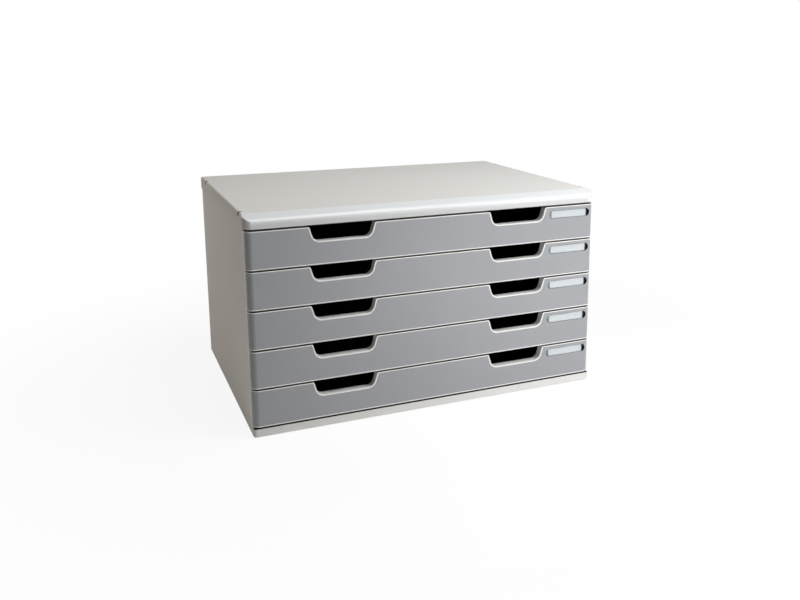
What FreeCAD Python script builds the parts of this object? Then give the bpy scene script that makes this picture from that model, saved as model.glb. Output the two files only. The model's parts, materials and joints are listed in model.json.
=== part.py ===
"""Desktop drawer cabinet: a low landscape case with a lid and five shallow drawers.

Frame: origin at the bottom centre of the whole object, +X to the right seen from the front,
+Y to the rear, +Z up. The drawers open towards -Y. All values are in millimetres and degrees.
Drawer 1 is the top one.
"""
import FreeCAD, Part
import math
import os

V = FreeCAD.Vector

# --- Sheets and drawers ---------------------------------------------------------------------
drawer_count = 5
room_width = 423.0          # inside a tray, side to side
room_depth = 302.7          # inside a tray, front to back
front_height = 44.4
front_gap = 1.4             # open line between two fronts
front_depth = 10.0          # thickness of a drawer front
front_plate = 2.0           # its face, behind the fascia
front_edge_wall = 2.2       # its top and bottom walls, behind which it is hollow
travel = 235.0              # how far a drawer pulls out

# --- Case -----------------------------------------------------------------------------------
corner_radius = 8.0         # plan rounding of the drawers' front corners
rear_radius = 2.0
side_wall = 2.5
back_thickness = 2.2
back_fit = 0.2              # back panel to side wall
closed_gap = 0.3            # drawer front to the edge of the side panel
tray_rear_gap = 1.5

# --- Base and feet --------------------------------------------------------------------------
foot_proud = 1.2
plinth_height = 10.3
plinth_wall = 2.8
plinth_corner_radius = 4.0
plinth_edge_radius = 1.5
floor_thickness = 2.5
foot_radius = 8.0
foot_pocket_depth = 2.0
foot_pocket_fit = 0.2
foot_cup_wall = 2.0
foot_inset_x = 33.0
foot_inset_y = 32.0
stiffener_width = 2.0
stiffener_height = 4.5
stiffener_count = 4

# --- Lid ------------------------------------------------------------------------------------
lid_height = 16.1
lid_overhang = 1.0          # past each side panel
lid_wall = 2.5
lid_corner_radius = 11.0
nose_depth = 16.5           # front plane to the crease where the flat top ends
nose_core_depth = 12.1      # the same inside the lid, from its inner front face
nose_slope = 16.0           # fall of the nose's upper face at the crease
nose_turn = 45.0            # fall where its wide upper curve gives way to the tight one
nose_shoulder_radius = 13.5
nose_radius = 4.0
lid_edge_radius = 2.5
clip_slot_width = 4.6
clip_slot_length = 4.0
clip_slot_depth = 5.0
clip_slot_front = 30.0      # from the front plane to the front pair
clip_slot_rear = 274.0      # from the front plane to the rear pair

# --- Tray -----------------------------------------------------------------------------------
tray_wall = 1.8
tray_floor = 1.8
tray_lift = 1.0             # tray underside above the lower edge of its front
tray_side_drop = 2.8        # upper edge of the front to the tray's rim
tray_front_drop = 0.8       # upper edge of the front to the tray's front wall
tray_corner_radius = 4.0

# --- Runners: a flange on the tray slides in a channel of two ribs on the side panel ----------
runner_space = 6.7          # tray wall to side wall
rib_width = 5.7
rib_thickness = 2.0
flange_width = 3.5
flange_thickness = 2.0
running_gap = 0.3
stop_width = 2.6
stop_length = 6.0
lug_width = 5.9
lug_length = 8.0
stop_slack = 0.3

# --- Rails, columns and the lid joint on the side panels ------------------------------------
rail_width = 6.0
bottom_rail_height = 12.0
top_rail_height = 3.0
column_depth = 10.0
column_gap = 1.0            # tray flange to column
tongue_thickness = 1.7
tongue_height = 8.0
tongue_fit = 0.15
catch_count = 3
catch_length = 9.0
catch_reach = 0.9
catch_height = 1.6
catch_drop = 3.2            # tongue top edge to catch
catch_fit = 0.3

# --- Fascia, grips and label holder ---------------------------------------------------------
fascia_thickness = 1.5
fascia_rim = 1.5            # light edge left round the fascia
fascia_wrap = 8.0           # how far the fascia runs back round the corners
fascia_fit = 0.05
grip_inset = 110.0          # side of the case to the middle of a grip
grip_half_width = 38.75     # at the upper edge
grip_depth = 17.2
grip_slope = 16.0
grip_lip_radius = 3.0
grip_corner_radius = 9.4
collar_wall = 2.0
tray_notch_margin = 1.0
label_inset = 36.15         # right end of the front to the middle of the label
label_drop = 10.4           # upper edge of the front to the middle of the label
label_slot_length = 58.9
label_slot_height = 10.4
label_pocket_depth = 0.5
card_width = 50.3
card_height = 9.8
card_thickness = 0.4
window_thickness = 1.0
window_fit = 0.15

# --- Fixings --------------------------------------------------------------------------------
peg_radius = 2.0
peg_fit = 0.1
peg_head_radius = 3.2
peg_head_height = 1.2
peg_boss_radius = 4.0
peg_height = 12.0           # above the lower edge of the front
peg_inset = 23.3            # side of the tray to the outer pegs
peg_inner = 40.0            # middle of the tray to the inner pegs
screw_radius = 1.45
screw_fit = 0.05
screw_clearance = 0.15
screw_inset = 3.5           # inner face of the side wall to the screws
screw_head_radius = 2.6
base_screw_head = 2.0
base_screw_length = 10.0
base_screw_count = 4        # along each side
base_screw_end = 22.0       # from the front and the rear of the case
back_screw_length = 8.0
back_screw_sink = 1.3
back_screw_count = 3        # up each side
back_screw_end = 30.0       # from the lower and the upper edge of the back panel
drive_width = 0.6
drive_length = 3.0
drive_depth = 0.9

# --- Small values shared by the shapes ------------------------------------------------------
least_radius = 0.2
past = 5.0                  # how far a cutting shape runs past the faces it opens

# --- Places worked out from the sizes above -------------------------------------------------
tray_half = room_width / 2 + tray_wall
inner_half = tray_half + runner_space
case_half = inner_half + side_wall
lid_half = case_half + lid_overhang
case_depth = front_depth + room_depth + 2 * tray_wall + tray_rear_gap + back_thickness
front_y = -case_depth / 2
rear_y = case_depth / 2
front_back_y = front_y + front_depth
side_front_y = front_back_y + closed_gap
back_y = rear_y - back_thickness
tray_rear_y = back_y - tray_rear_gap
column_y = back_y - column_depth
flange_rear_y = column_y - column_gap
stop_y = flange_rear_y - lug_length - travel - stop_slack
plinth_top = foot_proud + plinth_height
floor_z = plinth_top - floor_thickness
pitch = front_height + front_gap
lid_z = plinth_top + front_gap + drawer_count * pitch
top_z = lid_z + lid_height
rail_x = inner_half - rail_width
screw_x = inner_half - screw_inset
grip_offset = case_half - grip_inset
label_centre = case_half - label_inset
tray_side_height = front_height - tray_lift - tray_side_drop
tray_front_height = front_height - tray_lift - tray_front_drop


def front_z(number):
    """Lower edge of a drawer's front; drawer 1 is the top one."""
    return plinth_top + front_gap + (drawer_count - number) * pitch


# --- Shape helpers --------------------------------------------------------------------------
def block(x0, x1, y0, y1, z0, z1):
    low, high = (min(x0, x1), min(y0, y1), min(z0, z1)), (max(x0, x1), max(y0, y1), max(z0, z1))
    return Part.makeBox(high[0] - low[0], high[1] - low[1], high[2] - low[2], V(*low))


def joined(shapes):
    return shapes[0].multiFuse(shapes[1:]).removeSplitter() if len(shapes) > 1 else shapes[0]


def prism(edges, push):
    return Part.Face(Part.Wire(edges)).extrude(push)


def polygon(points):
    return Part.makePolygon(points + points[:1]).Edges


def spread(first, last, count):
    """Evenly spaced places from first to last."""
    return [first + (last - first) * i / (count - 1) for i in range(count)] if count > 1 else [first]


def mirrored(shape):
    return shape.mirror(V(0, 0, 0), V(1, 0, 0))


def slab(half, y0, y1, z0, z1, front, rear):
    """Upright prism, symmetrical about X = 0, with rounded front and rear corners in plan."""
    corners = [(half, y0, front, -90), (half, y1, rear, 0), (-half, y1, rear, 90), (-half, y0, front, 180)]
    edges, starts, ends = [], [], []
    for x, y, size, angle in corners:
        radius = max(size, least_radius)
        centre = V(x - math.copysign(radius, x), y + (radius if y == y0 else -radius), z0)
        turn = [math.radians(angle + part) for part in (0, 45, 90)]
        points = [centre + V(math.cos(a), math.sin(a), 0) * radius for a in turn]
        edges.append(Part.Arc(*points).toShape())
        starts.append(points[0])
        ends.append(points[2])
    outline = []
    for i, edge in enumerate(edges):
        outline += [edge, Part.makeLine(ends[i], starts[(i + 1) % len(edges)])]
    return prism(outline, V(0, 0, z1 - z0))


def footprint(z0, z1, inset=0.0, front_radius=corner_radius):
    """The case's plan outline, moved in by inset, between two heights."""
    return slab(case_half - inset, front_y + inset, rear_y - inset, z0, z1,
                front_radius - inset, rear_radius - inset)


# --- Grip and label outlines on the front plane -----------------------------------------------
def grip_cutter(middle, upper_z, margin, y0, y1):
    """Solid of one grip opening, grown by margin on its sides and lower edge."""
    slope = math.radians(grip_slope)
    half_turn = math.tan((math.pi / 2 + slope) / 2)
    lip, corner = max(grip_lip_radius - margin, least_radius), grip_corner_radius + margin
    lip_run, corner_run = lip / half_turn, corner / half_turn
    top_half = grip_half_width + margin * (1 - math.sin(slope)) / math.cos(slope)
    low_half = top_half - grip_depth * math.tan(slope)
    z_top, z_low, z_past = upper_z - margin, upper_z - margin - grip_depth, upper_z + past

    def at(side, x, z):
        return V(middle + side * x, y0, z)

    def arc(side, centre, radius, corner_point, start, end):
        reach = math.hypot(corner_point[0] - centre[0], corner_point[1] - centre[1])
        mid = [c + (p - c) * radius / reach for c, p in zip(centre, corner_point)]
        return Part.Arc(at(side, *start), at(side, *mid), at(side, *end)).toShape()

    edges = []
    for side in (-1, 1):
        lip_start, lip_end = (top_half + lip_run, z_top), (top_half - lip_run * math.sin(slope),
                                                           z_top - lip_run * math.cos(slope))
        bend_start = (low_half + corner_run * math.sin(slope), z_low + corner_run * math.cos(slope))
        bend_end = (low_half - corner_run, z_low)
        edges += [
            Part.makeLine(at(side, top_half + lip_run, z_past), at(side, *lip_start)),
            arc(side, (top_half + lip_run, z_top - lip), lip, (top_half, z_top), lip_start, lip_end),
            Part.makeLine(at(side, *lip_end), at(side, *bend_start)),
            arc(side, (low_half - corner_run, z_low + corner), corner, (low_half, z_low),
                bend_start, bend_end),
        ]
    edges.append(Part.makeLine(at(-1, low_half - corner_run, z_low), at(1, low_half - corner_run, z_low)))
    edges.append(Part.makeLine(at(-1, top_half + lip_run, z_past), at(1, top_half + lip_run, z_past)))
    return prism(Part.__sortEdges__(edges), V(0, y1 - y0, 0))


def grip_cutters(number, margin, y0, y1):
    upper_z = front_z(number) + front_height
    return [grip_cutter(side * grip_offset, upper_z, margin, y0, y1) for side in (-1, 1)]


def label_slot(number, y0, y1):
    """Round-ended solid of the label opening."""
    radius = label_slot_height / 2
    run = label_slot_length / 2 - radius
    z = front_z(number) + front_height - label_drop
    ends = [Part.makeCylinder(radius, y1 - y0, V(label_centre + side * run, y0, z), V(0, 1, 0))
            for side in (-1, 1)]
    bar = block(label_centre - run, label_centre + run, y0, y1, z - radius, z + radius)
    return joined([bar] + ends)


# --- Screws ---------------------------------------------------------------------------------
def drive_recess(place, axis):
    """Cross recess sunk into a screw head along axis, made at the head's outer face."""
    cross = joined([block(-drive_length / 2, drive_length / 2, -drive_width / 2, drive_width / 2, 0, drive_depth),
                    block(-drive_width / 2, drive_width / 2, -drive_length / 2, drive_length / 2, 0, drive_depth)])
    cross.Placement = FreeCAD.Placement(place, FreeCAD.Rotation(V(0, 0, 1), axis))
    return cross


def base_screw_places():
    return [V(side * screw_x, y, floor_z) for side in (-1, 1)
            for y in spread(front_y + base_screw_end, rear_y - base_screw_end, base_screw_count)]


def back_screw_places():
    return [V(side * screw_x, rear_y, z) for side in (-1, 1)
            for z in spread(plinth_top + back_screw_end, lid_z - back_screw_end, back_screw_count)]


def base_screws():
    """Pan-head screws that hold the side panels on the base, seen from below."""
    screws = []
    for place in base_screw_places():
        head = Part.makeCylinder(screw_head_radius, base_screw_head, place - V(0, 0, base_screw_head))
        shank = Part.makeCylinder(screw_radius, base_screw_length, place)
        recess = drive_recess(place - V(0, 0, base_screw_head), V(0, 0, 1))
        screws.append(joined([head, shank]).cut(recess))
    return Part.makeCompound(screws)


def back_screws():
    """Countersunk screws that hold the back panel on the columns."""
    screws = []
    for place in back_screw_places():
        head = Part.makeCone(screw_head_radius, screw_radius, back_screw_sink, place, V(0, -1, 0))
        shank = Part.makeCylinder(screw_radius, back_screw_length, place, V(0, -1, 0))
        screws.append(joined([head, shank]).cut(drive_recess(place, V(0, -1, 0))))
    return Part.makeCompound(screws)


# --- Case -----------------------------------------------------------------------------------
def foot_places():
    return [V(x, y, 0) for x in (foot_inset_x - case_half, case_half - foot_inset_x)
            for y in (front_y + foot_inset_y, rear_y - foot_inset_y)]


def rubber_feet():
    height = foot_proud + foot_pocket_depth
    return Part.makeCompound([Part.makeCylinder(foot_radius, height, place) for place in foot_places()])


def base_panel():
    """Floor with a plinth wall all round, foot cups and stiffening ribs below."""
    body = footprint(foot_proud, plinth_top, 0, plinth_corner_radius)
    lower = [e for e in body.Edges if abs(e.BoundBox.ZMax - foot_proud) < least_radius / 2]
    body = body.makeFillet(plinth_edge_radius, lower)
    body = body.cut(footprint(foot_proud - past, floor_z, plinth_wall, plinth_corner_radius))
    inner_x, rib_z = case_half - plinth_wall, floor_z - stiffener_height
    ribs = [block(-inner_x, inner_x, y - stiffener_width / 2, y + stiffener_width / 2, rib_z, floor_z)
            for y in spread(front_y, rear_y, stiffener_count + 2)[1:-1]]
    ribs.append(block(-stiffener_width / 2, stiffener_width / 2, front_y + plinth_wall,
                      rear_y - plinth_wall, rib_z, floor_z))
    pocket_radius = foot_radius + foot_pocket_fit
    cups = [Part.makeCylinder(pocket_radius + foot_cup_wall, floor_z - foot_proud, place + V(0, 0, foot_proud))
            for place in foot_places()]
    body = joined([body] + ribs + cups)
    for place in foot_places():
        body = body.cut(Part.makeCylinder(pocket_radius, foot_proud + foot_pocket_depth, place))
    for place in base_screw_places():
        hole = Part.makeCylinder(screw_radius + screw_clearance, floor_thickness + past, place - V(0, 0, past / 2))
        body = body.cut(hole)
    return body


def runner_ribs(number):
    """The two ribs of one channel on the right side panel, and the stop between them."""
    flange_z = front_z(number) + tray_lift + tray_side_height - flange_thickness
    low, high = flange_z - running_gap, flange_z + flange_thickness + running_gap
    rib_x = inner_half - rib_width
    return [
        block(rib_x, inner_half, side_front_y, column_y, low - rib_thickness, low),
        block(rib_x, inner_half, side_front_y, column_y, high, high + rib_thickness),
        block(inner_half - stop_width, inner_half, stop_y - stop_length, stop_y, low, high),
    ]


def catch_places():
    return spread(front_y + case_depth / (catch_count + 1), rear_y - case_depth / (catch_count + 1), catch_count)


def right_side_panel():
    """Wall with a rail along its foot and head, a rear column, five channels and the lid tongue."""
    plain = footprint(plinth_top, lid_z)
    wall = plain.common(block(inner_half, case_half + past, side_front_y, rear_y, plinth_top, lid_z))
    parts = [
        wall,
        block(rail_x, inner_half, side_front_y, back_y, plinth_top, plinth_top + bottom_rail_height),
        block(rail_x, inner_half, side_front_y, back_y, lid_z - top_rail_height, lid_z),
        block(rail_x, inner_half, column_y, back_y, plinth_top, lid_z),
    ]
    for number in range(1, drawer_count + 1):
        parts += runner_ribs(number)
    outer = lid_half - lid_wall - tongue_fit
    parts.append(block(outer - tongue_thickness, outer, side_front_y + nose_depth, rear_y - lid_wall - tongue_fit,
                       lid_z - top_rail_height, lid_z + tongue_height))
    panel = joined(parts)
    window_z = lid_z + tongue_height - catch_drop
    for y in catch_places():
        reach = catch_length / 2 + catch_fit
        panel = panel.cut(block(outer - tongue_thickness - past, outer + tongue_fit / 2, y - reach, y + reach,
                                window_z - catch_height - catch_fit, window_z + catch_fit))
    for place in base_screw_places() + back_screw_places():
        if place.x > 0:
            panel = panel.cut(core_hole(place))
    return panel


def core_hole(place):
    """Blind hole that a case screw cuts its thread in."""
    if place.z == floor_z:
        return Part.makeCylinder(screw_radius + screw_fit, base_screw_length + screw_fit, place)
    return Part.makeCylinder(screw_radius + screw_fit, back_screw_length + screw_fit, place, V(0, -1, 0))


def back_panel():
    body = block(-inner_half + back_fit, inner_half - back_fit, back_y, rear_y, plinth_top, lid_z)
    for place in back_screw_places():
        hole = Part.makeCylinder(screw_radius + screw_clearance, back_thickness, place, V(0, -1, 0))
        sink = Part.makeCone(screw_head_radius + screw_fit, screw_radius + screw_fit, back_screw_sink,
                             place, V(0, -1, 0))
        body = body.cut(joined([hole, sink]))
    return body


def arc_points(centre, radius, first, last):
    """Start, middle and end of an arc in the YZ plane, between two falls measured from level."""
    turn = [math.radians(90 + fall) for fall in (first, (first + last) / 2, last)]
    return [centre + V(0, math.cos(a), math.sin(a)) * radius for a in turn]


def lid_profile(inset):
    """Side outline of the lid, moved in by inset: flat top, sloping nose, two curves and front band."""
    y0, y1, z0, z1 = front_y + inset, rear_y - inset, lid_z - (past if inset else 0), top_z - inset
    slope, turn = math.radians(nose_slope), math.radians(nose_turn)
    shoulder, tip = nose_shoulder_radius - inset, nose_radius - inset
    crease = V(0, y0 + (nose_core_depth if inset else nose_depth), z1)
    curve_depth = shoulder * (math.sin(turn) - math.sin(slope)) + tip * (1 - math.sin(turn))
    fall = (crease.y - y0 - curve_depth) * math.tan(slope)
    start = V(0, y0 + curve_depth, z1 - fall)
    centre = start - V(0, math.cos(math.pi / 2 + slope), math.sin(math.pi / 2 + slope)) * shoulder
    wide = arc_points(centre, shoulder, nose_slope, nose_turn)
    tight = arc_points(wide[2] + (centre - wide[2]) * (tip / shoulder), tip, nose_turn, 90)
    points = [tight[2], V(0, y0, z0), V(0, y1, z0), V(0, y1, z1), crease, start]
    curves = [Part.Arc(*wide).toShape(), Part.Arc(*tight).toShape()]
    return curves + [Part.makeLine(a, b) for a, b in zip(points, points[1:])]


def lid_block(inset):
    """Solid of the lid's outline: side profile, plan outline and edge rounding together."""
    half = lid_half - inset
    side_view = prism(lid_profile(inset), V(2 * half, 0, 0))
    side_view.translate(V(-half, 0, 0))
    plan = slab(half, front_y + inset, rear_y - inset, lid_z - past, top_z - inset,
                lid_corner_radius - inset, rear_radius - inset)
    lengthwise = [e for e in plan.Edges if e.BoundBox.YLength > case_depth / 2 and e.BoundBox.ZMin > lid_z]
    return side_view.common(plan.makeFillet(max(lid_edge_radius - inset, least_radius), lengthwise))


def top_cover():
    """Lid shell with a rounded nose, catches inside its skirt and slots for stacking clips."""
    shell = lid_block(0).cut(lid_block(lid_wall))
    inner = lid_half - lid_wall
    catch_z = lid_z + tongue_height - catch_drop
    extras = []
    for y in catch_places():
        outline = polygon([V(inner + least_radius, y - catch_length / 2, catch_z),
                           V(inner - catch_reach, y - catch_length / 2, catch_z),
                           V(inner + least_radius, y - catch_length / 2, catch_z - catch_height)])
        wedge = prism(outline, V(0, catch_length, 0))
        extras += [wedge, mirrored(wedge)]
    shell = joined([shell] + extras)
    for y in (front_y + clip_slot_front, front_y + clip_slot_rear):
        slot = block(lid_half - clip_slot_length, lid_half + past, y - clip_slot_width / 2,
                     y + clip_slot_width / 2, top_z - clip_slot_depth, top_z + past)
        shell = shell.cut(slot).cut(mirrored(slot))
    return shell


# --- Drawer ---------------------------------------------------------------------------------
def tray(number):
    """Open tray with a higher notched front wall, side flanges and a stop lug at each rear end."""
    z0 = front_z(number) + tray_lift
    rim_z, wall_z = z0 + tray_side_height, z0 + tray_front_height
    body = slab(tray_half, front_back_y, tray_rear_y, z0, rim_z, least_radius, tray_corner_radius)
    front_wall = block(-tray_half, tray_half, front_back_y, front_back_y + tray_wall, z0, wall_z)
    body = joined([body, front_wall])
    inner_radius = tray_corner_radius - tray_wall
    body = body.cut(slab(tray_half - tray_wall, front_back_y + tray_wall, tray_rear_y - tray_wall,
                         z0 + tray_floor, wall_z + past, inner_radius, inner_radius))
    flange_z = rim_z - flange_thickness
    flange = block(tray_half - least_radius, tray_half + flange_width, front_back_y + closed_gap,
                   flange_rear_y, flange_z, rim_z)
    lug = block(tray_half - least_radius, tray_half + lug_width, flange_rear_y - lug_length, flange_rear_y,
                flange_z, rim_z)
    body = joined([body, flange, lug, mirrored(flange), mirrored(lug)])
    for cutter in grip_cutters(number, tray_notch_margin, front_back_y - past, front_back_y + tray_wall + past):
        body = body.cut(cutter)
    for place in peg_places(number):
        body = body.cut(Part.makeCylinder(peg_radius + peg_fit, tray_wall, place, V(0, 1, 0)))
    return body


def peg_places(number):
    z = front_z(number) + peg_height
    outer = tray_half - peg_inset
    return [V(x, front_back_y, z) for x in (-outer, -peg_inner, peg_inner, outer)]


def fascia_band(number, fit):
    """The fascia's sheet, bent round both front corners and open at the grips."""
    z0, z1 = front_z(number) + fascia_rim - fit, front_z(number) + front_height - fascia_rim + fit
    band = footprint(z0, z1).cut(footprint(z0 - past, z1 + past, fascia_thickness))
    band = band.common(block(-lid_half, lid_half, front_y, front_y + fascia_wrap + fit, z0, z1))
    for cutter in grip_cutters(number, fascia_rim - fit, front_y - past, front_y + fascia_thickness + past):
        band = band.cut(cutter)
    return band


def fascia(number):
    return fascia_band(number, 0).cut(label_slot(number, front_y - past, front_y + fascia_thickness + past))


def front_hollow(number):
    """Space behind the face of a drawer front, leaving the grip collars and peg bosses."""
    z0 = front_z(number)
    face_y = front_y + fascia_thickness + front_plate
    half = tray_half - peg_boss_radius
    hollow = block(-half, half, face_y, front_back_y, z0 + front_edge_wall, z0 + front_height - front_edge_wall)
    for cutter in grip_cutters(number, collar_wall, front_y, front_back_y + past):
        hollow = hollow.cut(cutter)
    for place in peg_places(number):
        hollow = hollow.cut(Part.makeCylinder(peg_boss_radius, front_depth, place, V(0, -1, 0)))
    return hollow


def label_end_openings(number):
    """The label opening carried through the front's face past both ends of the card."""
    past_card = block(label_centre - card_width / 2, label_centre + card_width / 2, front_y - past,
                      front_back_y, front_z(number), front_z(number) + front_height)
    return label_slot(number, front_y, front_y + fascia_thickness + front_plate + least_radius).cut(past_card)


def front(number):
    """Full-width front: face, grip collars, label pocket and the pegs that hold the tray."""
    z0, seat_y = front_z(number), front_y + fascia_thickness
    body = footprint(z0, z0 + front_height)
    body = body.common(block(-lid_half, lid_half, front_y, front_back_y, z0, z0 + front_height))
    body = body.cut(fascia_band(number, fascia_fit)).cut(front_hollow(number))
    for cutter in grip_cutters(number, 0, front_y - past, front_back_y + past):
        body = body.cut(cutter)
    body = body.cut(label_slot(number, seat_y, seat_y + label_pocket_depth)).cut(label_end_openings(number))
    pegs = []
    for place in peg_places(number):
        pegs.append(Part.makeCylinder(peg_radius, tray_wall, place, V(0, 1, 0)))
        pegs.append(Part.makeCylinder(peg_head_radius, peg_head_height, place + V(0, tray_wall, 0), V(0, 1, 0)))
    return joined([body] + pegs)


def label_card(number):
    y = front_y + fascia_thickness + label_pocket_depth
    z = front_z(number) + front_height - label_drop
    return block(label_centre - card_width / 2, label_centre + card_width / 2, y - card_thickness, y,
                 z - card_height / 2, z + card_height / 2)


def label_window(number):
    """Clear strip over the card, round at the end away from the finger opening."""
    back = front_y + fascia_thickness + label_pocket_depth - card_thickness
    radius = label_slot_height / 2 - window_fit
    z = front_z(number) + front_height - label_drop
    middle = label_centre - label_slot_length / 2 + window_fit + radius
    end = Part.makeCylinder(radius, window_thickness, V(middle, back, z), V(0, -1, 0))
    bar = block(middle, label_centre + card_width / 2, back - window_thickness, back, z - radius, z + radius)
    return joined([end, bar]).common(label_slot_inside(number))


def label_slot_inside(number):
    """The label opening less the window's clearance, which trims the strip's far corners."""
    radius = label_slot_height / 2 - window_fit
    run = label_slot_length / 2 - label_slot_height / 2
    z = front_z(number) + front_height - label_drop
    ends = [Part.makeCylinder(radius, front_depth, V(label_centre + side * run, front_y, z), V(0, 1, 0))
            for side in (-1, 1)]
    bar = block(label_centre - run, label_centre + run, front_y, front_back_y, z - radius, z + radius)
    return joined([bar] + ends)


# --- Output ---------------------------------------------------------------------------------
def case_nodes():
    right = right_side_panel()
    return {
        "top_cover": top_cover(),
        "left_side_panel": mirrored(right),
        "right_side_panel": right,
        "back_panel": back_panel(),
        "base_panel": base_panel(),
        "rubber_feet": rubber_feet(),
        "base_screws": base_screws(),
        "back_screws": back_screws(),
    }


def drawer_nodes(number):
    name = f"drawer_{number}"
    return {
        f"{name}_tray": tray(number),
        f"{name}_front": front(number),
        f"{name}_fascia": fascia(number),
        f"{name}_label_card": label_card(number),
        f"{name}_label_window": label_window(number),
    }


nodes = case_nodes()
for drawer in range(1, drawer_count + 1):
    nodes.update(drawer_nodes(drawer))

os.makedirs("parts", exist_ok=True)
for node, shape in nodes.items():
    shape.exportStep(f"parts/{node}.step")
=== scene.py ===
"""Desktop drawer cabinet: finishes, softened edges, fittings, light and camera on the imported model.

Frame: metres, origin at the bottom centre, +X to the right seen from the front, +Y to the rear.
"""

import json
import math

import bmesh
import bpy
from mathutils import Matrix, Vector


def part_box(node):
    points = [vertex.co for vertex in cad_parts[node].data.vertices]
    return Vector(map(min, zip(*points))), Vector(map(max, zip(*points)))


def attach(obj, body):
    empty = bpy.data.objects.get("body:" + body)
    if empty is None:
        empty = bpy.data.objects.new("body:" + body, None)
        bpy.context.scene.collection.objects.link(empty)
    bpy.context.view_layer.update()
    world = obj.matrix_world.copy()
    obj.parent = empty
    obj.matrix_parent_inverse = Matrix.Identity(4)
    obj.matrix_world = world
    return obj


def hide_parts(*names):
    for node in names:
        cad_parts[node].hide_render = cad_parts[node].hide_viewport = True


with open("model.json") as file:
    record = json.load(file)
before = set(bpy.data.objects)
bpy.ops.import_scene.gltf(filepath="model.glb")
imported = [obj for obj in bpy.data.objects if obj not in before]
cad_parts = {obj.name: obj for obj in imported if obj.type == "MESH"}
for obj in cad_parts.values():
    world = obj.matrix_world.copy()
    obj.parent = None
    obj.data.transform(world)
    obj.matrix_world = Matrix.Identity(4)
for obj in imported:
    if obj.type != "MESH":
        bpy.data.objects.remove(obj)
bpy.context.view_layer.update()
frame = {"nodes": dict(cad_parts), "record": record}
MM = 0.001
DRAWERS = range(1, 6)


# --- Places on the model --------------------------------------------------------------------
def corners(node):
    """Lowest and highest corner of a CAD node."""
    return [Vector(corner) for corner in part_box(node)]


base_top = corners("base_panel")[1].z
side_face = corners("base_panel")[1].x            # outer face of the right side panel
lid_low, lid_high = corners("top_cover")
low_front = corners(f"drawer_{DRAWERS[-1]}_front")[0]
card_low, card_high = corners(f"drawer_{DRAWERS[-1]}_label_card")

FRONT_PLANE = low_front.y
DRAWER_PITCH = corners(f"drawer_{DRAWERS[-2]}_front")[0].z - low_front.z
SLIT_MIDDLE, SLIT_HALF = (base_top + low_front.z) / 2, (low_front.z - base_top) / 2
LABEL_MIDDLE = (card_low.z + card_high.z) / 2     # height of the lowest label card
NOSE_DEPTH = 16.5 * MM
LID_CREASE = FRONT_PLANE + NOSE_DEPTH             # where the flat top ends and the nose begins


# --- Camera ---------------------------------------------------------------------------------
IMAGE_WIDTH, IMAGE_HEIGHT = 800, 600
SENSOR_WIDTH = 36.0
FOCAL_PIXELS = 849.4
AXIS_PIXEL = (450.0, 220.0)          # where the camera's axis meets the image
CAMERA_PLACE = Vector((-0.38256, -1.06924, 0.43371))
CAMERA_AZIMUTH, CAMERA_ELEVATION, CAMERA_ROLL = -23.887, 11.3169, 0.076


def make_camera():
    """Camera that looks along azimuth and elevation, turned by roll about its own axis."""
    azimuth, elevation, roll = map(math.radians, (CAMERA_AZIMUTH, CAMERA_ELEVATION, CAMERA_ROLL))
    back = Vector((math.sin(azimuth) * math.cos(elevation),
                   -math.cos(azimuth) * math.cos(elevation), math.sin(elevation)))
    level_right = Vector((0, 0, 1)).cross(back).normalized()
    level_up = back.cross(level_right)
    right = math.cos(roll) * level_right + math.sin(roll) * level_up
    up = back.cross(right)
    data = bpy.data.cameras.new("camera")
    data.sensor_width = SENSOR_WIDTH
    data.lens = FOCAL_PIXELS / IMAGE_WIDTH * SENSOR_WIDTH
    data.shift_x = (IMAGE_WIDTH / 2 - AXIS_PIXEL[0]) / IMAGE_WIDTH
    data.shift_y = (AXIS_PIXEL[1] - IMAGE_HEIGHT / 2) / IMAGE_WIDTH
    camera = bpy.data.objects.new("camera", data)
    turn = Matrix((right, up, back)).transposed()
    camera.matrix_world = Matrix.Translation(CAMERA_PLACE) @ turn.to_4x4()
    bpy.context.scene.collection.objects.link(camera)
    bpy.context.scene.camera = camera


# --- Light and floor ------------------------------------------------------------------------
CENTRE = (0.05, -0.08, 0.14)


def make_lamp(name, place, aim, size, power, colour):
    """Softbox: a square lamp at place that faces aim."""
    data = bpy.data.lights.new(name, "AREA")
    data.shape, data.size = "SQUARE", size
    data.energy, data.color = power, colour
    lamp = bpy.data.objects.new(name, data)
    place = Vector(place)
    facing = (Vector(aim) - place).to_track_quat("-Z", "Y").to_matrix().to_4x4()
    lamp.matrix_world = Matrix.Translation(place) @ facing
    lamp.visible_camera = False
    bpy.context.scene.collection.objects.link(lamp)
    return lamp


def link(tree, source, target):
    tree.links.new(source, target)


def node_in(tree, kind, **settings):
    """Adds a shader node and sets its properties."""
    node = tree.nodes.new(kind)
    for key, value in settings.items():
        setattr(node, key, value)
    return node


def seen_directly(tree):
    """1 where a surface is seen by the camera, in a mirror or through clear plastic."""
    path = node_in(tree, "ShaderNodeLightPath")
    first = node_in(tree, "ShaderNodeMath", operation="MAXIMUM")
    second = node_in(tree, "ShaderNodeMath", operation="MAXIMUM")
    link(tree, path.outputs["Is Camera Ray"], first.inputs[0])
    link(tree, path.outputs["Is Transmission Ray"], first.inputs[1])
    link(tree, first.outputs[0], second.inputs[0])
    link(tree, path.outputs["Is Glossy Ray"], second.inputs[1])
    return second.outputs[0]


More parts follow.
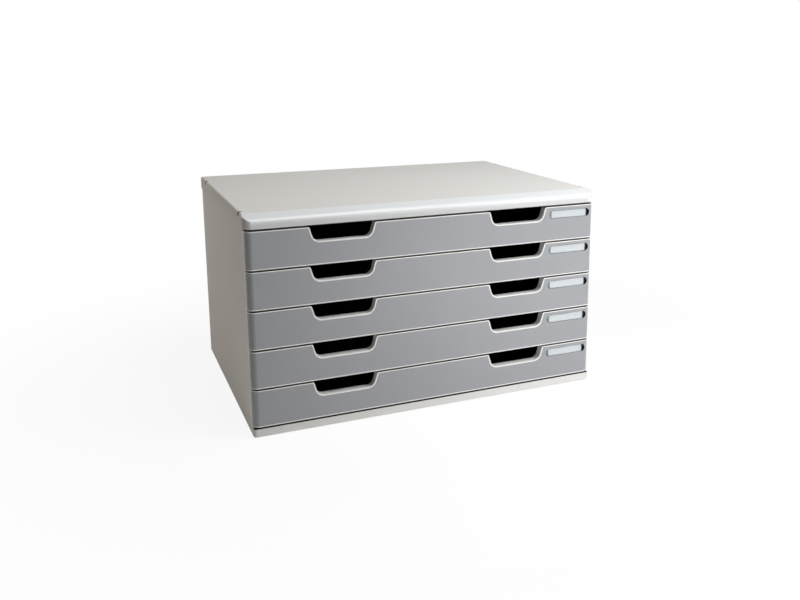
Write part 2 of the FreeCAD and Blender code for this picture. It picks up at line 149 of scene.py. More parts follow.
def make_world(strength, colour):
    """Even soft light on the object, and white behind it."""
    world = bpy.data.worlds.new("studio")
    world.use_nodes = True
    tree = world.node_tree
    background = tree.nodes["Background"]
    tint = node_in(tree, "ShaderNodeMix", data_type="RGBA")
    level = node_in(tree, "ShaderNodeMix", data_type="FLOAT")
    seen = seen_directly(tree)
    link(tree, seen, tint.inputs["Factor"])
    link(tree, seen, level.inputs["Factor"])
    tint.inputs["A"].default_value, tint.inputs["B"].default_value = (*colour, 1), (1, 1, 1, 1)
    level.inputs["A"].default_value, level.inputs["B"].default_value = strength, 1.0
    link(tree, tint.outputs["Result"], background.inputs["Color"])
    link(tree, level.outputs["Result"], background.inputs["Strength"])
    bpy.context.scene.world = world


FLOOR_HALF = 4.0
SHADOW_CORE, SHADOW_REACH = 0.25, 0.75    # radii between which the object's shadow fades out
WHITE_NEAR = 0.9                          # share of plain white in the floor inside the core
LIT_FLOOR = (0.95, 0.95, 0.95, 1)         # the floor's own colour under the lamps
FLOOR_COLOUR = (0.86, 0.845, 0.82, 1)     # the colour that it throws back on the object


def make_floor():
    """Pale floor: white where nothing shades it, soft grey in the object's shadow."""
    mesh = bpy.data.meshes.new("floor")
    bm = bmesh.new()
    bmesh.ops.create_grid(bm, x_segments=1, y_segments=1, size=FLOOR_HALF)
    bm.to_mesh(mesh)
    bm.free()
    floor = bpy.data.objects.new("floor", mesh)
    bpy.context.scene.collection.objects.link(floor)
    material = bpy.data.materials.new("floor")
    material.use_nodes = True
    tree = material.node_tree
    tree.nodes.remove(tree.nodes["Principled BSDF"])
    place = node_in(tree, "ShaderNodeTexCoord")
    distance = node_in(tree, "ShaderNodeVectorMath", operation="LENGTH")
    fade = node_in(tree, "ShaderNodeMapRange", interpolation_type="SMOOTHSTEP")
    link(tree, place.outputs["Object"], distance.inputs[0])
    link(tree, distance.outputs["Value"], fade.inputs["Value"])
    for socket, value in (("From Min", SHADOW_CORE), ("From Max", SHADOW_REACH),
                          ("To Min", WHITE_NEAR), ("To Max", 1.0)):
        fade.inputs[socket].default_value = value
    lit = node_in(tree, "ShaderNodeBsdfDiffuse")
    lit.inputs["Color"].default_value = LIT_FLOOR
    white = node_in(tree, "ShaderNodeEmission")
    shown = node_in(tree, "ShaderNodeMixShader")
    link(tree, fade.outputs["Result"], shown.inputs["Fac"])
    link(tree, lit.outputs[0], shown.inputs[1])
    link(tree, white.outputs[0], shown.inputs[2])
    bounce = node_in(tree, "ShaderNodeBsdfDiffuse")
    bounce.inputs["Color"].default_value = FLOOR_COLOUR
    both = node_in(tree, "ShaderNodeMixShader")
    link(tree, seen_directly(tree), both.inputs["Fac"])
    link(tree, bounce.outputs[0], both.inputs[1])
    link(tree, shown.outputs[0], both.inputs[2])
    link(tree, both.outputs[0], tree.nodes["Material Output"].inputs["Surface"])
    mesh.materials.append(material)


# --- Shared effects -------------------------------------------------------------------------
def new_group(name, inputs, outputs):
    """Empty shader node group with value, vector or colour sockets."""
    kinds = {"value": "NodeSocketFloat", "vector": "NodeSocketVector", "colour": "NodeSocketColor"}
    group = bpy.data.node_groups.new(name, "ShaderNodeTree")
    for direction, sockets in (("INPUT", inputs), ("OUTPUT", outputs)):
        for label, kind in sockets:
            group.interface.new_socket(label, in_out=direction, socket_type=kinds[kind])
    return group, node_in(group, "NodeGroupInput").outputs, node_in(group, "NodeGroupOutput").inputs


def feed(tree, value, socket):
    """Links a socket to another, or writes a constant into it."""
    if isinstance(value, bpy.types.NodeSocket):
        link(tree, value, socket)
    else:
        socket.default_value = value


def maths(tree, operation, *values):
    """Math node; each operand is a socket or a number."""
    node = node_in(tree, "ShaderNodeMath", operation=operation)
    for value, socket in zip(values, node.inputs):
        feed(tree, value, socket)
    return node.outputs[0]


def ramp(tree, value, low, high, start=0.0, end=1.0):
    """Smooth step from start at low to end at high."""
    node = node_in(tree, "ShaderNodeMapRange", interpolation_type="SMOOTHSTEP")
    for label, entry in (("Value", value), ("From Min", low), ("From Max", high),
                         ("To Min", start), ("To Max", end)):
        feed(tree, entry, node.inputs[label])
    return node.outputs["Result"]


def mix_colour(tree, mask, first, second, blend="MIX"):
    """Colour that goes from first to second with the mask."""
    node = node_in(tree, "ShaderNodeMix", data_type="RGBA", blend_type=blend)
    for label, entry in (("Factor", mask), ("A", first), ("B", second)):
        feed(tree, entry, node.inputs[label])
    return node.outputs["Result"]


def noise(tree, vector, scale, detail, roughness=0.5):
    """Noise texture about 0.5."""
    node = node_in(tree, "ShaderNodeTexNoise")
    for label, entry in (("Vector", vector), ("Scale", scale), ("Detail", detail),
                         ("Roughness", roughness)):
        feed(tree, entry, node.inputs[label])
    return node.outputs["Fac"]


def stretched(tree, vector, scale):
    """Vector scaled along each axis."""
    node = node_in(tree, "ShaderNodeMapping")
    node.inputs["Scale"].default_value = scale
    link(tree, vector, node.inputs["Vector"])
    return node.outputs["Vector"]


def parted(tree, vector):
    """X, Y and Z of a vector."""
    node = node_in(tree, "ShaderNodeSeparateXYZ")
    link(tree, vector, node.inputs[0])
    return node.outputs


def scaled_by(tree, colour, gain):
    """Colour times a value."""
    node = node_in(tree, "ShaderNodeVectorMath", operation="SCALE")
    link(tree, colour, node.inputs[0])
    link(tree, gain, node.inputs["Scale"])
    return node.outputs[0]


def off_middle(tree, value, amount):
    """A noise value's distance from its middle, times an amount."""
    return maths(tree, "MULTIPLY", maths(tree, "SUBTRACT", value, 0.5), amount)


BITE_TO_PITS = 1.7                        # how much finer the bite is than the pits
PIT_SHARE, BITE_SHARE = 0.55, 0.45        # of the grain's depth


def moulded_grain():
    """Spark-eroded mould texture in metres: rounded pits with a finer bite on top."""
    group, given, result = new_group(
        "moulded_grain", [("Vector", "vector"), ("Pits per Metre", "value"), ("Depth", "value")],
        [("Height", "value")])
    pits = node_in(group, "ShaderNodeTexVoronoi", feature="SMOOTH_F1")
    link(group, given["Vector"], pits.inputs["Vector"])
    link(group, given["Pits per Metre"], pits.inputs["Scale"])
    pits.inputs["Smoothness"].default_value = 0.6
    finer = maths(group, "MULTIPLY", given["Pits per Metre"], BITE_TO_PITS)
    bite = maths(group, "MULTIPLY", noise(group, given["Vector"], finer, 2.0, 0.6), BITE_SHARE)
    shape = maths(group, "MULTIPLY_ADD", pits.outputs["Distance"], PIT_SHARE, bite)
    link(group, maths(group, "MULTIPLY", shape, given["Depth"]), result["Height"])
    return group


def slow_waves():
    """Long shallow waves of a cooled moulding, in metres."""
    group, given, result = new_group(
        "slow_waves", [("Vector", "vector"), ("Waves per Metre", "value"), ("Depth", "value")],
        [("Height", "value")])
    wave = noise(group, given["Vector"], given["Waves per Metre"], 1.5, 0.4)
    link(group, maths(group, "MULTIPLY", wave, given["Depth"]), result["Height"])
    return group


DRIFTS_PER_METRE, SPECKS_PER_METRE = 9.0, 620.0


def uneven_colour():
    """Slow drift in a moulded colour with a fine speckle of pigment."""
    group, given, result = new_group(
        "uneven_colour",
        [("Vector", "vector"), ("Colour", "colour"), ("Drift", "value"), ("Speckle", "value")],
        [("Colour", "colour")])
    slow = off_middle(group, noise(group, given["Vector"], DRIFTS_PER_METRE, 2.0), given["Drift"])
    fast = off_middle(group, noise(group, given["Vector"], SPECKS_PER_METRE, 2.0, 0.7),
                      given["Speckle"])
    gain = maths(group, "ADD", maths(group, "ADD", slow, fast), 1.0)
    link(group, scaled_by(group, given["Colour"], gain), result["Colour"])
    return group


PATCHES_PER_METRE = 24.0
STREAK_SCALE = (14.0, 900.0, 900.0)       # long in X, fine across it


def handled_finish():
    """Roughness that wanders in soft patches, with fine rubbed streaks along X."""
    group, given, result = new_group(
        "handled_finish",
        [("Vector", "vector"), ("Roughness", "value"), ("Patches", "value"), ("Streaks", "value")],
        [("Roughness", "value")])
    slow = off_middle(group, noise(group, given["Vector"], PATCHES_PER_METRE, 3.0, 0.6),
                      given["Patches"])
    streaks = noise(group, stretched(group, given["Vector"], STREAK_SCALE), 1.0, 2.0)
    fine = off_middle(group, streaks, given["Streaks"])
    rough = maths(group, "ADD", given["Roughness"], maths(group, "ADD", slow, fine))
    link(group, rough, result["Roughness"])
    return group


def box_mask():
    """1 inside a box about a centre, falling to 0 over Edge outside it."""
    group, given, result = new_group(
        "box_mask",
        [("Vector", "vector"), ("Centre", "vector"), ("Half Size", "vector"), ("Edge", "value")],
        [("Mask", "value")])
    apart = node_in(group, "ShaderNodeVectorMath", operation="SUBTRACT")
    link(group, given["Vector"], apart.inputs[0])
    link(group, given["Centre"], apart.inputs[1])
    size = node_in(group, "ShaderNodeVectorMath", operation="ABSOLUTE")
    link(group, apart.outputs[0], size.inputs[0])
    past = node_in(group, "ShaderNodeVectorMath", operation="SUBTRACT")
    link(group, size.outputs[0], past.inputs[0])
    link(group, given["Half Size"], past.inputs[1])
    x, y, z = parted(group, past.outputs[0])
    furthest = maths(group, "MAXIMUM", maths(group, "MAXIMUM", x, y), z)
    link(group, ramp(group, furthest, given["Edge"], 0.0), result["Mask"])
    return group


# Painted shade in the slits over and under the fronts: near black on their faces and on a hairline of
# the rims.
SLIT_RIM, SLIT_BLUR = 0.3 * MM, 0.1 * MM  # how far the dark goes past a slit, and its soft edge
SLIT_DARK, SLIT_CLEAR = 2.5 * MM, 5.5 * MM     # behind the front plane: full dark, then none


def slit_shade():
    """1 where shade is painted: on the faces that look into the slits over and under the drawer
    fronts, and on a hairline of the rims beside them, fading out behind the front plane."""
    group, given, result = new_group("slit_shade", [("Vector", "vector")], [("Mask", "value")])
    _, y, z = parted(group, given["Vector"])
    rise = maths(group, "SUBTRACT", z, SLIT_MIDDLE)
    from_slit = maths(group, "PINGPONG", rise, DRAWER_PITCH / 2)
    within = ramp(group, from_slit, SLIT_HALF + SLIT_RIM + SLIT_BLUR, SLIT_HALF + SLIT_RIM)
    behind = ramp(group, y, FRONT_PLANE + SLIT_CLEAR, FRONT_PLANE + SLIT_DARK)
    link(group, maths(group, "MULTIPLY", within, behind), result["Mask"])
    return group


SCUFF_SCALE = (700.0, 11.0, 700.0)        # long in Y, fine across it
SCUFF_START, SCUFF_FULL = 0.52, 0.72      # noise levels between which a scuff appears


def rubbed_runs():
    """Fine scuffs that run along Y, where a tray slides."""
    group, given, result = new_group(
        "rubbed_runs", [("Vector", "vector"), ("Amount", "value")], [("Mask", "value")])
    scuffs = noise(group, stretched(group, given["Vector"], SCUFF_SCALE), 1.0, 3.0, 0.6)
    shown = ramp(group, scuffs, SCUFF_START, SCUFF_FULL)
    link(group, maths(group, "MULTIPLY", shown, given["Amount"]), result["Mask"])
    return group


GRAIN, WAVES, COLOUR, FINISH = moulded_grain(), slow_waves(), uneven_colour(), handled_finish()
BOX, SLIT_SHADE_GROUP, RUNS = box_mask(), slit_shade(), rubbed_runs()


# --- Finishes -------------------------------------------------------------------------------
def placed_group(tree, group, vector, **values):
    """Puts a shared group in a material, fed with Object coordinates and this finish's values."""
    node = node_in(tree, "ShaderNodeGroup", node_tree=group)
    link(tree, vector, node.inputs["Vector"])
    for label, value in values.items():
        feed(tree, value, node.inputs[label.replace("_", " ")])
    return node.outputs[0]


def moulded_finish(name, colour, roughness, pits, pit_depth, waves=(10.0, 0.0), drift=0.03,
                   speckle=0.03, patches=0.1, streaks=0.04, tone=None):
    """Plastic with mould grain, shallow waves, uneven pigment and a handled surface.

    pits is pits per metre, pit_depth is in metres, and waves is waves per metre and their depth.
    tone(tree, place, colour) returns the colour after the marks and painted light that this finish
    alone has.
    """
    material = bpy.data.materials.new(name)
    material.use_nodes = True
    tree = material.node_tree
    shader = tree.nodes["Principled BSDF"]
    place = node_in(tree, "ShaderNodeTexCoord").outputs["Object"]
    tint = placed_group(tree, COLOUR, place, Colour=(*colour, 1), Drift=drift, Speckle=speckle)
    if tone:
        tint = tone(tree, place, tint)
    rough = placed_group(tree, FINISH, place, Roughness=roughness, Patches=patches, Streaks=streaks)
    grain = placed_group(tree, GRAIN, place, Pits_per_Metre=pits, Depth=pit_depth)
    wave = placed_group(tree, WAVES, place, Waves_per_Metre=waves[0], Depth=waves[1])
    bump = node_in(tree, "ShaderNodeBump")
    bump.inputs["Distance"].default_value = 1.0
    link(tree, maths(tree, "ADD", grain, wave), bump.inputs["Height"])
    link(tree, tint, shader.inputs["Base Color"])
    link(tree, rough, shader.inputs["Roughness"])
    link(tree, bump.outputs["Normal"], shader.inputs["Normal"])
    return material


def shader_of(material):
    return material.node_tree.nodes["Principled BSDF"]


MASK_BLUR = 0.15 * MM


def masked_box(tree, vector, low, high):
    """Mask of the box between two corners."""
    centre = [(a + b) / 2 for a, b in zip(low, high)]
    half = [(b - a) / 2 for a, b in zip(low, high)]
    return placed_group(tree, BOX, vector, Centre=centre, Half_Size=half, Edge=MASK_BLUR)


# Painted shade: the side faces are given a warmer, slightly darker colour than the top.
SIDE_SHADE_TONE = (0.70, 0.663, 0.605, 1)       # warmer than the top
# Painted shade: the plinth's front is greyer and darker than the shell.
PLINTH_SHADE_TONE = (0.65, 0.645, 0.635, 1)
# Painted reflection: the lid's nose is given a cooler colour than the top.
NOSE_REFLECTION_TONE = (0.69, 0.705, 0.72, 1)        # cooler than the top
# Painted shade: a darker band along the lid's front below the nose.
BAND_SHADE_TONE, BAND_SHADE_AMOUNT = (0.58, 0.58, 0.58, 1), 0.8
# Near black painted shade for the slits, the clip slots and the walls past the label cards.
PAINTED_SHADE_COLOUR = (0.012, 0.012, 0.012, 1)

SIDE_SHADE_START, SIDE_SHADE_FULL = side_face - 1.0 * MM, side_face - 0.2 * MM
PLINTH_RISE = base_top + 1.5 * MM, base_top - 0.5 * MM              # no plinth tone, full tone
PLINTH_SETBACK = FRONT_PLANE + 10 * MM, FRONT_PLANE + 6 * MM
BAND_RISE = lid_high.z - 8 * MM, lid_high.z - 12 * MM
BAND_SETBACK = FRONT_PLANE + 1.0 * MM, FRONT_PLANE + 0.4 * MM
CREASE_BLUR = 0.5 * MM

PAST_MIDDLE = -1 * MM                     # a box that is mirrored starts just past the middle
PAST_FRONT = FRONT_PLANE - 0.3 * MM
# Boxes of painted shade: the slits over the plinth and under the lid, and the clip slots in the lid's
# sides.
BASE_SLIT = ((PAST_MIDDLE, PAST_FRONT, base_top - 0.45 * MM),
             (side_face - 0.5 * MM, FRONT_PLANE + 4.5 * MM, base_top + 0.5 * MM))
LID_SLIT = ((PAST_MIDDLE, PAST_FRONT, lid_low.z - 0.3 * MM),
            (side_face - 1.0 * MM, FRONT_PLANE + 11 * MM, lid_low.z + 0.45 * MM))
CLIP_SLOT_MIDDLES = FRONT_PLANE + 30 * MM, FRONT_PLANE + 274 * MM
CLIP_SLOT_MOUTH = ((lid_high.x - 4.2 * MM, -2.35 * MM, lid_high.z - 5.1 * MM),
                   (lid_high.x + 0.5 * MM, 2.35 * MM, lid_high.z - 0.3 * MM))
CLIP_SLOT_DEPTH = ((lid_high.x - 18.5 * MM, -2.6 * MM, lid_high.z - 14 * MM),
                   (lid_high.x - 2.7 * MM, 2.6 * MM, lid_high.z - 2.4 * MM))


def shell_painted_shade(tree, place, colour):
    """Painted shade: warmer sides, a greyer plinth front, near black clip slots and near black slits
    over and under the fronts.

    All of it is laid out on the right half and mirrored to the left.
    """
    mirrored = node_in(tree, "ShaderNodeVectorMath", operation="ABSOLUTE")
    link(tree, place, mirrored.inputs[0])
    folded = node_in(tree, "ShaderNodeCombineXYZ")
    _, y, z = parted(tree, place)
    for value, socket in zip((parted(tree, mirrored.outputs[0])[0], y, z), folded.inputs):
        link(tree, value, socket)
    folded = folded.outputs[0]
    x, y, z = parted(tree, folded)
    plinth = maths(tree, "MULTIPLY", ramp(tree, z, *PLINTH_RISE), ramp(tree, y, *PLINTH_SETBACK))
    colour = mix_colour(tree, plinth, colour, PLINTH_SHADE_TONE)
    colour = mix_colour(tree, ramp(tree, x, SIDE_SHADE_START, SIDE_SHADE_FULL), colour, SIDE_SHADE_TONE)
    dark = maths(tree, "MAXIMUM", masked_box(tree, folded, *BASE_SLIT),
                 masked_box(tree, folded, *LID_SLIT))
    for middle in CLIP_SLOT_MIDDLES:
        for box in (CLIP_SLOT_MOUTH, CLIP_SLOT_DEPTH):
            low, high = ((x, y + middle, z) for x, y, z in box)
            dark = maths(tree, "MAXIMUM", dark, masked_box(tree, folded, low, high))
    return mix_colour(tree, dark, colour, PAINTED_SHADE_COLOUR)


def lid_painted_light(tree, place, colour):
    """The shell's painted shade, a cooler nose that is a painted reflection, and a darker band along
    the lid's front below it that is painted shade.
    """
    _, y, z = parted(tree, place)
    band = maths(tree, "MULTIPLY", ramp(tree, z, *BAND_RISE), ramp(tree, y, *BAND_SETBACK))
    nose = ramp(tree, y, LID_CREASE + CREASE_BLUR, LID_CREASE - CREASE_BLUR)
    cooler = mix_colour(tree, nose, colour, NOSE_REFLECTION_TONE)
    darker = mix_colour(tree, maths(tree, "MULTIPLY", band, BAND_SHADE_AMOUNT), cooler, BAND_SHADE_TONE)
    return shell_painted_shade(tree, place, darker)


# Painted shade on the walls past both ends of the label card.
LABEL_ENDS = ((card_low.x - 5.2 * MM, card_low.x + 0.1 * MM),
              (card_high.x - 0.1 * MM, card_high.x + 4.9 * MM))
LABEL_SLOT_START, LABEL_SLOT_END = FRONT_PLANE + 0.4 * MM, FRONT_PLANE + 20 * MM
LABEL_SLOT_HALF = 5.6 * MM                # from the card's middle height


def front_painted_shade(tree, place, colour):
    """Painted shade: near black faces in the slits between the fronts, and near black walls past both
    ends of the label card.
    """
    x, y, z = parted(tree, place)
    level = maths(tree, "PINGPONG", maths(tree, "SUBTRACT", z, LABEL_MIDDLE), DRAWER_PITCH / 2)
    local = node_in(tree, "ShaderNodeCombineXYZ")
    for value, socket in zip((x, y, level), local.inputs):
        link(tree, value, socket)
    dark = placed_group(tree, SLIT_SHADE_GROUP, place)
    for left, right in LABEL_ENDS:
        end = masked_box(tree, local.outputs[0], (left, LABEL_SLOT_START, PAST_MIDDLE),
                         (right, LABEL_SLOT_END, LABEL_SLOT_HALF))
        dark = maths(tree, "MAXIMUM", dark, end)
    return mix_colour(tree, dark, colour, PAINTED_SHADE_COLOUR)


SCUFF_AMOUNT, SCUFF_TONE = 0.5, (0.035, 0.035, 0.037, 1)
DUST_AMOUNT, DUST_TONE = 0.12, (0.3, 0.29, 0.27, 1)


def tray_marks(tree, place, colour):
    """Grey scuffs along the runs of a tray and a little dust on what faces up."""
    scuffs = placed_group(tree, RUNS, place, Amount=SCUFF_AMOUNT)
    _, _, up = parted(tree, node_in(tree, "ShaderNodeNewGeometry").outputs["Normal"])
    specks = ramp(tree, noise(tree, place, 900.0, 3.0, 0.7), 0.55, 0.75)
    settled_dust = maths(tree, "MULTIPLY", ramp(tree, up, 0.7, 1.0), specks)
    dust = maths(tree, "MULTIPLY", settled_dust, DUST_AMOUNT)
    worn = mix_colour(tree, scuffs, colour, SCUFF_TONE)
    return mix_colour(tree, dust, worn, DUST_TONE)


FIBRE_SCALE, FIBRE_AMOUNT = (300.0, 900.0, 1600.0), 0.25
FIBRE_TONE = (0.58, 0.60, 0.62, 1)


def paper_fibres(tree, place, colour):
    """Faint fibres of the card."""
    fibres = noise(tree, stretched(tree, place, FIBRE_SCALE), 1.0, 3.0, 0.7)
    return mix_colour(tree, ramp(tree, fibres, 0.45, 0.8, 0.0, FIBRE_AMOUNT), colour, FIBRE_TONE)


light_shell = moulded_finish(
    "light_grey_shell", (0.70, 0.675, 0.635), roughness=0.62, pits=1500, pit_depth=0.000014,
    waves=(9.0, 0.0002), tone=shell_painted_shade)
smooth_lid = moulded_finish(
    "light_grey_lid", (0.70, 0.69, 0.665), roughness=0.66, pits=1500, pit_depth=0.000008,
    waves=(9.0, 0.00012), tone=lid_painted_light)
# Lighter than the shell: a painted highlight on the rims of the fronts.
front_frame = moulded_finish(
    "light_grey_front_frame", (0.80, 0.80, 0.785), roughness=0.38, pits=1500, pit_depth=0.00001,
    tone=front_painted_shade)
grey_fascia = moulded_finish(
    "grey_fascia", (0.295, 0.302, 0.320), roughness=0.42, pits=1100, pit_depth=0.00002,
    waves=(14.0, 0.00008), drift=0.05, speckle=0.11, tone=front_painted_shade)
black_tray = moulded_finish(
    "black_tray", (0.012, 0.012, 0.013), roughness=0.45, pits=1300, pit_depth=0.00002,
    waves=(20.0, 0.00015), streaks=0.1, tone=tray_marks)
label_paper = moulded_finish(
    "label_card", (0.60, 0.625, 0.65), roughness=0.8, pits=3000, pit_depth=0.000008,
    tone=paper_fibres)
rubber = moulded_finish(
    "foot_rubber", (0.03, 0.03, 0.03), roughness=0.7, pits=1200, pit_depth=0.00002, patches=0.15)
steel = moulded_finish(
    "zinc_steel", (0.6, 0.6, 0.6), roughness=0.35, pits=2500, pit_depth=0.000004, drift=0.1)
shader_of(steel).inputs["Metallic"].default_value = 1.0
for finish in (smooth_lid, light_shell):
    shader_of(finish).inputs["Specular IOR Level"].default_value = 0.3


NOSE_COAT, NOSE_COAT_ROUGHNESS = 0.9, 0.25
COAT_RISE = lid_high.z - 10.5 * MM, lid_high.z - 8 * MM             # no coat, full coat
COAT_SIDE = side_face, side_face - 4.5 * MM


def polish_nose(material):
    """Gives the lid's rounded nose a gloss, next to its grained top, sides and front band."""
    tree = material.node_tree
    shader = shader_of(material)
    shader.inputs["Coat Roughness"].default_value = NOSE_COAT_ROUGHNESS
    place = node_in(tree, "ShaderNodeTexCoord").outputs["Object"]
    x, y, z = parted(tree, place)
    nose = ramp(tree, y, LID_CREASE + CREASE_BLUR, LID_CREASE - CREASE_BLUR, 0.0, NOSE_COAT)
    nose = maths(tree, "MULTIPLY", nose, ramp(tree, z, *COAT_RISE))
    within = ramp(tree, maths(tree, "ABSOLUTE", x), *COAT_SIDE)
    link(tree, maths(tree, "MULTIPLY", nose, within), shader.inputs["Coat Weight"])


polish_nose(smooth_lid)

# Painted shade and reflection: a half-opaque teal-grey over the strip's round end, past the card.
PAINTED_END_START, PAINTED_END_FULL = card_low.x + 0.2 * MM, card_low.x - 0.4 * MM
PAINTED_END_TONE, RIM_TONE = (0.26, 0.33, 0.35, 1), (0.05, 0.08, 0.085, 1)
PAINTED_END_ALPHA, RIM_ALPHA, CLEAR_ALPHA = 0.5, 0.6, 0.05


def make_clear_strip():
    """Clear plastic with a faint teal cast, dark in its rim, and painted shade and reflection on its
    round end.
    """
    material = moulded_finish("label_window", (0.72, 0.84, 0.86), roughness=0.12, pits=300,
                              pit_depth=0.0, patches=0.08, streaks=0.12)
    tree = material.node_tree
    shader = shader_of(material)
    place = node_in(tree, "ShaderNodeTexCoord").outputs["Object"]
    rim = node_in(tree, "ShaderNodeAttribute", attribute_name="rim").outputs["Fac"]
    x, _, _ = parted(tree, place)
    painted_end = ramp(tree, x, PAINTED_END_START, PAINTED_END_FULL)
    tint = shader.inputs["Base Color"].links[0].from_socket
    tint = mix_colour(tree, painted_end, tint, PAINTED_END_TONE)
    link(tree, mix_colour(tree, rim, tint, RIM_TONE), shader.inputs["Base Color"])
    film = maths(tree, "MAXIMUM", maths(tree, "MULTIPLY", rim, RIM_ALPHA),
                 maths(tree, "MULTIPLY", painted_end, PAINTED_END_ALPHA))
    link(tree, maths(tree, "MAXIMUM", film, CLEAR_ALPHA), shader.inputs["Alpha"])
    return material


clear_strip = make_clear_strip()

own_finishes = {"cover": smooth_lid, "front": front_frame}
finishes = {
    "light_grey_plastic": light_shell,
    "dark_grey_plastic": grey_fascia,
    "black_plastic": black_tray,
    "label_paper": label_paper,
    "clear_plastic": clear_strip,
    "foot_rubber": rubber,
    "screw_steel": steel,
}


# --- New pieces -----------------------------------------------------------------------------
def settled(bm, name, finish, body, slot, *nodes):
    """Turns a bmesh into a smooth-shaded piece that rides on a body and stands for CAD nodes."""
    bmesh.ops.remove_doubles(bm, verts=bm.verts, dist=MERGE_REACH)
    bmesh.ops.recalc_face_normals(bm, faces=bm.faces)
    mesh = bpy.data.meshes.new(name)
    bm.to_mesh(mesh)
    bm.free()
    mesh.shade_smooth()
    mesh.materials.append(finish)
    piece = bpy.data.objects.new(name, mesh)
    bpy.context.scene.collection.objects.link(piece)
    even = piece.modifiers.new("even", "WEIGHTED_NORMAL")
    even.mode, even.weight, even.keep_sharp = "FACE_AREA", 50, True
    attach(piece, body)
    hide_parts(*nodes)


CARD_CLEARANCE = 0.12 * MM
STRIP_RIM, DISH_SLOPE, DISH_DEPTH = 0.45 * MM, 0.35 * MM, 0.25 * MM
STRIP_EDGE = 0.15 * MM
MERGE_REACH, SAME_PLACE = 0.001 * MM, 0.01 * MM


def make_label_strip(number):
    """Clear strip over a label card: round at its left end, with a raised rim and a dished middle."""
    low, high = corners(f"drawer_{number}_label_window")
    radius = (high.z - low.z) / 2
    back = high.y - CARD_CLEARANCE
    centre = Vector((low.x + radius, back, (low.z + high.z) / 2))
    bm = bmesh.new()
    rim = bm.verts.layers.float.new("rim")
    upright = Matrix.Translation(centre) @ Matrix.Rotation(math.pi / 2, 4, "X")
    bmesh.ops.create_circle(bm, cap_ends=True, segments=48, radius=radius, matrix=upright)
    bmesh.ops.bisect_plane(bm, geom=bm.verts[:] + bm.edges[:] + bm.faces[:], dist=MERGE_REACH,
                           plane_co=centre, plane_no=(1, 0, 0), clear_outer=True)
    straight = [edge for edge in bm.edges
                if all(abs(vert.co.x - centre.x) < SAME_PLACE for vert in edge.verts)]
    run = bmesh.ops.extrude_edge_only(bm, edges=straight)
    bmesh.ops.translate(bm, vec=(high.x - centre.x, 0, 0),
                        verts=[item for item in run["geom"] if isinstance(item, bmesh.types.BMVert)])
    bmesh.ops.dissolve_edges(bm, edges=straight)
    sheet = bmesh.ops.extrude_face_region(bm, geom=bm.faces[:])
    outer = [item for item in sheet["geom"] if isinstance(item, bmesh.types.BMFace)]
    bmesh.ops.translate(bm, vec=(0, low.y - back, 0),
                        verts=[item for item in sheet["geom"] if isinstance(item, bmesh.types.BMVert)])
    for vert in bm.verts:
        vert[rim] = 0.0 if vert.co.y > back - SAME_PLACE else 1.0
    bmesh.ops.inset_region(bm, faces=outer, thickness=STRIP_RIM)
    bmesh.ops.inset_region(bm, faces=outer, thickness=DISH_SLOPE, depth=-DISH_DEPTH)
    for vert in {vert for face in outer for vert in face.verts}:
        vert[rim] = 0.0
    edges = [edge for edge in bm.edges if abs(edge.calc_face_angle(0)) > math.radians(50)]
    bmesh.ops.bevel(bm, geom=edges, offset=STRIP_EDGE, segments=2, profile=0.5,
                     affect="EDGES", material=-1)
    settled(bm, f"drawer_{number}_label_strip", clear_strip, f"drawer_{number}", "clear_plastic",
            f"drawer_{number}_label_window")


# Half section of a foot in millimetres: reach from its axis, rise from the floor.
FOOT_SECTION = ((0.0, 0.9), (3.6, 0.9), (4.2, 0.5), (4.6, 0.0), (6.6, 0.0), (7.4, 0.4),
                (7.8, 1.1), (8.0, 3.2), (0.0, 3.2))


def make_feet():
    """Round rubber feet, dished underneath so that each rests on a ring."""
    low, high = corners("rubber_feet")
    radius = FOOT_SECTION[-2][0] * MM
    bm = bmesh.new()
    for x in (low.x + radius, high.x - radius):
        for y in (low.y + radius, high.y - radius):
            verts = [bm.verts.new((x + reach * MM, y, low.z + rise * MM))
                     for reach, rise in FOOT_SECTION]
            line = [bm.edges.new(pair) for pair in zip(verts, verts[1:])]
            bmesh.ops.spin(bm, geom=verts + line, cent=(x, y, 0), axis=(0, 0, 1), angle=math.tau,
                           steps=48, use_merge=True)
    settled(bm, "dished_rubber_feet", rubber, "case", "foot_rubber", "rubber_feet")


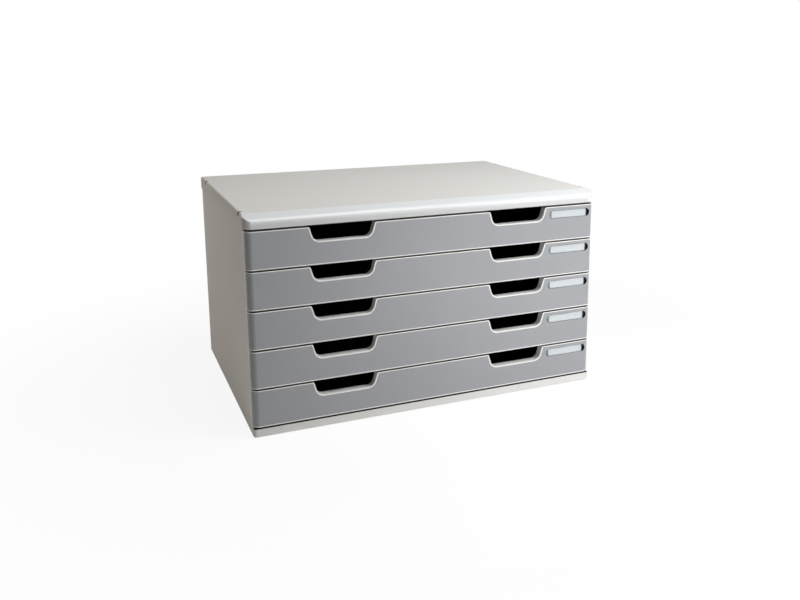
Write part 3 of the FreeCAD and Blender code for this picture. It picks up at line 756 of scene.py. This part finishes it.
# --- Carried-over pieces --------------------------------------------------------------------
def soften(node, width, segments=3):
    """Merges a node's triangles, rounds its sharp edges and keeps its flat faces flat."""
    node.data.shade_smooth()
    weld = node.modifiers.new("weld", "WELD")
    weld.merge_threshold = 0.00001
    flat = node.modifiers.new("flat", "DECIMATE")
    flat.decimate_type, flat.angle_limit = "DISSOLVE", math.radians(1)
    bevel = node.modifiers.new("edge", "BEVEL")
    bevel.width, bevel.segments, bevel.profile = width, segments, 0.5
    bevel.limit_method, bevel.angle_limit = "ANGLE", math.radians(30)
    bevel.use_clamp_overlap = True
    even = node.modifiers.new("even", "WEIGHTED_NORMAL")
    even.mode, even.weight, even.keep_sharp = "FACE_AREA", 50, True


# Width of the softened edges in millimetres, by the ending of a node's name.
EDGE_WIDTHS = {
    "top_cover": 0.4, "side_panel": 0.4, "back_panel": 0.3, "base_panel": 0.4,
    "front": 0.18, "fascia": 0.15, "tray": 0.3, "screws": 0.15, "card": 0.05,
}


def finish_nodes():
    """Gives every CAD node its finish, and soft edges where its name has a width."""
    slots = {piece["node"]: piece["material_slot"] for piece in frame["record"]["subparts"]}
    for name, node in frame["nodes"].items():
        node.data.materials.clear()
        node.data.materials.append(own_finishes.get(name.split("_")[-1], finishes[slots[name]]))
        for ending, width in EDGE_WIDTHS.items():
            if name.endswith(ending):
                soften(node, width * MM)


# --- Scene ----------------------------------------------------------------------------------
make_camera()
make_world(0.06, (1.0, 0.97, 0.93))
make_lamp("high_softbox", (0.5, -0.45, 0.75), CENTRE, 0.35, 1.65, (0.87, 0.95, 1.0))
make_lamp("front_softbox", (0.6, -0.67, 0.52), CENTRE, 0.4, 3.1, (1.0, 0.98, 0.98))
make_lamp("top_softbox", (0.2, -0.38, 1.4), CENTRE, 0.7, 8.9, (1.0, 0.99, 0.965))
rear_softbox = make_lamp("rear_softbox", (-0.55, 1.1, 0.3), CENTRE, 0.8, 4.2, (1.0, 0.96, 0.91))
rear_softbox.visible_glossy = False       # no glare of it on the lid
make_lamp("floor_card", (0.2, -0.48, 0.02), (0.15, -0.16, 0.05), 0.4, 0.95, (1.0, 1.0, 1.0))
make_floor()
finish_nodes()
for number in DRAWERS:
    make_label_strip(number)
make_feet()

bpy.context.scene.view_settings.view_transform = "Standard"
